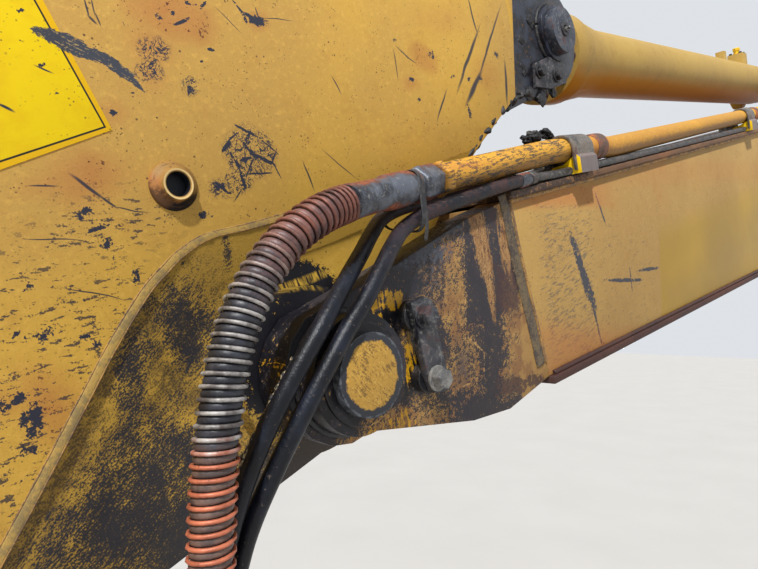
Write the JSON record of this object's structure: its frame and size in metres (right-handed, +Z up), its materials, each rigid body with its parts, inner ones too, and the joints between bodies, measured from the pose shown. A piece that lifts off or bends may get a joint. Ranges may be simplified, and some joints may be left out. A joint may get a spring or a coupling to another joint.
{
  "type": "excavator boom and arm assembly",
  "caption": "Digging front of a crawler excavator: cranked boom, arm, arm and bucket cylinders, bucket links and hoses, without its bucket.",
  "frame": {"origin": "centre of the boom's foot bore", "axes": "+X out along the front to the bucket end, +Y along the foot bore to the machine's left, +Z up"},
  "size_m": [8.5345, 0.58, 2.5756],
  "materials": {
    "ochre_paint": "sun-faded ochre paint, scratched, with rust and grease",
    "grimy_paint": "ochre paint under dark grease and dust",
    "dark_steel": "greasy dark steel, worn bright on edges",
    "rod_chrome": "polished hard chrome",
    "spring_steel": "coiled wire guard, part bare steel and part rusty",
    "hose_rubber": "oily black rubber"
  },
  "bodies": {
    "boom": {"boom_side_left": "ochre_paint", "boom_side_right": "ochre_paint", "boom_top_plate": "ochre_paint", "boom_bottom_plate": "grimy_paint", "boom_foot": "ochre_paint", "boom_lift_boss": "ochre_paint", "boom_fork": "ochre_paint", "arm_cylinder_bracket": "ochre_paint", "arm_cylinder_pin_ends": "dark_steel", "main_pin": "grimy_paint", "keeper_plate": "dark_steel", "boom_pipe": "ochre_paint", "boom_pipe_clamps": "dark_steel", "boom_slim_lines": "dark_steel", "guarded_hose": "spring_steel", "slim_hose_front": "hose_rubber", "slim_hose_rear": "hose_rubber"},
    "arm": {"arm_side_left": "ochre_paint", "arm_side_right": "ochre_paint", "arm_top_plate": "ochre_paint", "arm_bottom_plate": "grimy_paint", "arm_hub": "ochre_paint", "arm_rear_ears": "grimy_paint", "arm_rear_pin": "dark_steel", "arm_tube_boss": "grimy_paint", "arm_link_boss": "ochre_paint", "arm_tip_boss": "ochre_paint", "bucket_cylinder_bracket": "ochre_paint", "bucket_cylinder_pin_ends": "dark_steel", "arm_pipe": "ochre_paint", "arm_slim_lines": "dark_steel"},
    "arm_cylinder_rod": {"arm_cylinder_rod": "rod_chrome"},
    "arm_cylinder_barrel": {"arm_cylinder_barrel": "ochre_paint", "arm_cylinder_foot": "ochre_paint", "arm_cylinder_line": "ochre_paint"},
    "idler_links": {"idler_link_left": "ochre_paint", "idler_link_right": "ochre_paint", "idler_pins": "dark_steel"},
    "bucket_cylinder_rod": {"bucket_cylinder_rod": "rod_chrome"},
    "bucket_cylinder_barrel": {"bucket_cylinder_barrel": "ochre_paint", "bucket_cylinder_foot": "ochre_paint"},
    "push_link": {"push_link": "ochre_paint"}
  },
  "joints": [
    {"name": "arm_pivot", "type": "hinge", "parent": "boom", "child": "arm", "pos_m": [5.65, 0, 0], "axis": [0, 1, 0], "range_deg": [0, 113], "deforming": ["guarded_hose", "slim_hose_front", "slim_hose_rear"]},
    {"name": "arm_rod_pivot", "type": "hinge", "parent": "arm", "child": "arm_cylinder_rod", "pos_m": [5.00345, 0, 0.65238], "axis": [0, -1, 0], "range_deg": [0, 114.05]},
    {"name": "arm_barrel_slide", "type": "slide", "parent": "arm_cylinder_rod", "child": "arm_cylinder_barrel", "axis": [-0.9689, 0, 0.2473], "range_m": [0, 1.5314]},
    {"name": "link_pivot", "type": "hinge", "parent": "arm", "child": "idler_links", "pos_m": [7.95827, 0, -0.96203], "axis": [0, 1, 0], "range_deg": [0, 115]},
    {"name": "bucket_rod_pivot", "type": "hinge", "parent": "idler_links", "child": "bucket_cylinder_rod", "pos_m": [7.71811, 0, -0.39043], "axis": [0, -1, 0], "range_deg": [0, 113.05]},
    {"name": "bucket_barrel_slide", "type": "slide", "parent": "bucket_cylinder_rod", "child": "bucket_cylinder_barrel", "axis": [-0.8703, 0, 0.4925], "range_m": [0, 1.0436]},
    {"name": "push_link_pivot", "type": "hinge", "parent": "idler_links", "child": "push_link", "pos_m": [7.71811, 0, -0.39043], "axis": [0, -1, 0], "range_deg": [0, 57.87]}
  ],
  "couplings": [
    {"joint": "arm_rod_pivot", "follows": "arm_pivot", "ratio": 1.0092},
    {"joint": "arm_barrel_slide", "follows": "arm_pivot", "m_per_rad": 0.77624},
    {"joint": "bucket_rod_pivot", "follows": "link_pivot", "ratio": 0.98292},
    {"joint": "bucket_barrel_slide", "follows": "link_pivot", "m_per_rad": 0.5197},
    {"joint": "push_link_pivot", "follows": "link_pivot", "ratio": 0.50316}
  ]
}
